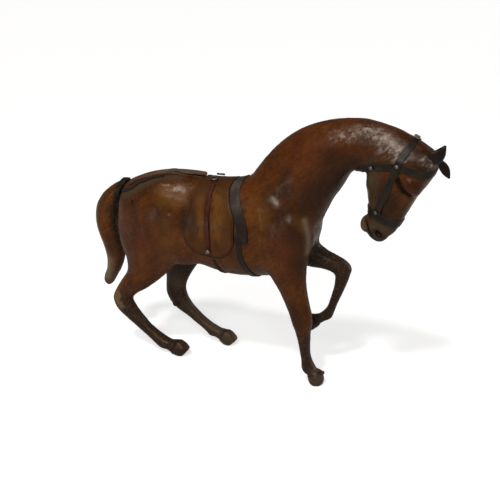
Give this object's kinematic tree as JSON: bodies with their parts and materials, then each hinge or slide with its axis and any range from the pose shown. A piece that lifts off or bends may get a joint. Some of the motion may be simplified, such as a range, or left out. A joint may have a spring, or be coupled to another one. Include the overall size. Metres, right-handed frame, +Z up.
{
  "type": "leather-covered horse sculpture",
  "caption": "Standing leather-covered horse with one foreleg raised, arched neck, bowed head, saddle, girths, crupper and bridle.",
  "frame": {"origin": "middle of the bounding box on the ground, level with the soles", "axes": "+X the way the horse faces, +Y to its left, +Z up"},
  "size_m": [0.4654, 0.0946, 0.3335],
  "materials": {
    "hide": "glazed cognac brown hide with dark patina, darker on the lower legs",
    "dark_hide": "near-black worn hide",
    "saddle_leather": "lighter golden brown leather, waxed",
    "strap_leather": "grey-black strap leather, worn to a soft shine",
    "red_leather": "dark red-brown strap leather",
    "metal": "dulled silvery studs"
  },
  "bodies": {
    "root": {"horse_body": "hide", "tail": "hide", "ear_right": "dark_hide", "ear_left": "dark_hide", "saddle": "saddle_leather", "surcingle": "strap_leather", "girth_front": "strap_leather", "girth_rear": "strap_leather", "crupper_strap": "strap_leather", "crupper_tongue": "strap_leather", "crupper_dock": "strap_leather", "crupper_fork_right": "strap_leather", "crupper_fork_left": "strap_leather", "bridle_crown": "strap_leather", "bridle_browband": "strap_leather", "bridle_noseband": "strap_leather", "stirrup_leather_right": "red_leather", "stirrup_leather_left": "red_leather", "stirrup_stud_right": "metal", "stirrup_stud_left": "metal", "brow_stud_right": "metal", "brow_stud_left": "metal", "nose_stud_right": "metal", "nose_stud_left": "metal", "throat_stud_right": "metal", "throat_stud_left": "metal", "saddle_ring_right": "metal", "saddle_ring_left": "metal", "crown_buckle": "metal"}
  },
  "joints": []
}
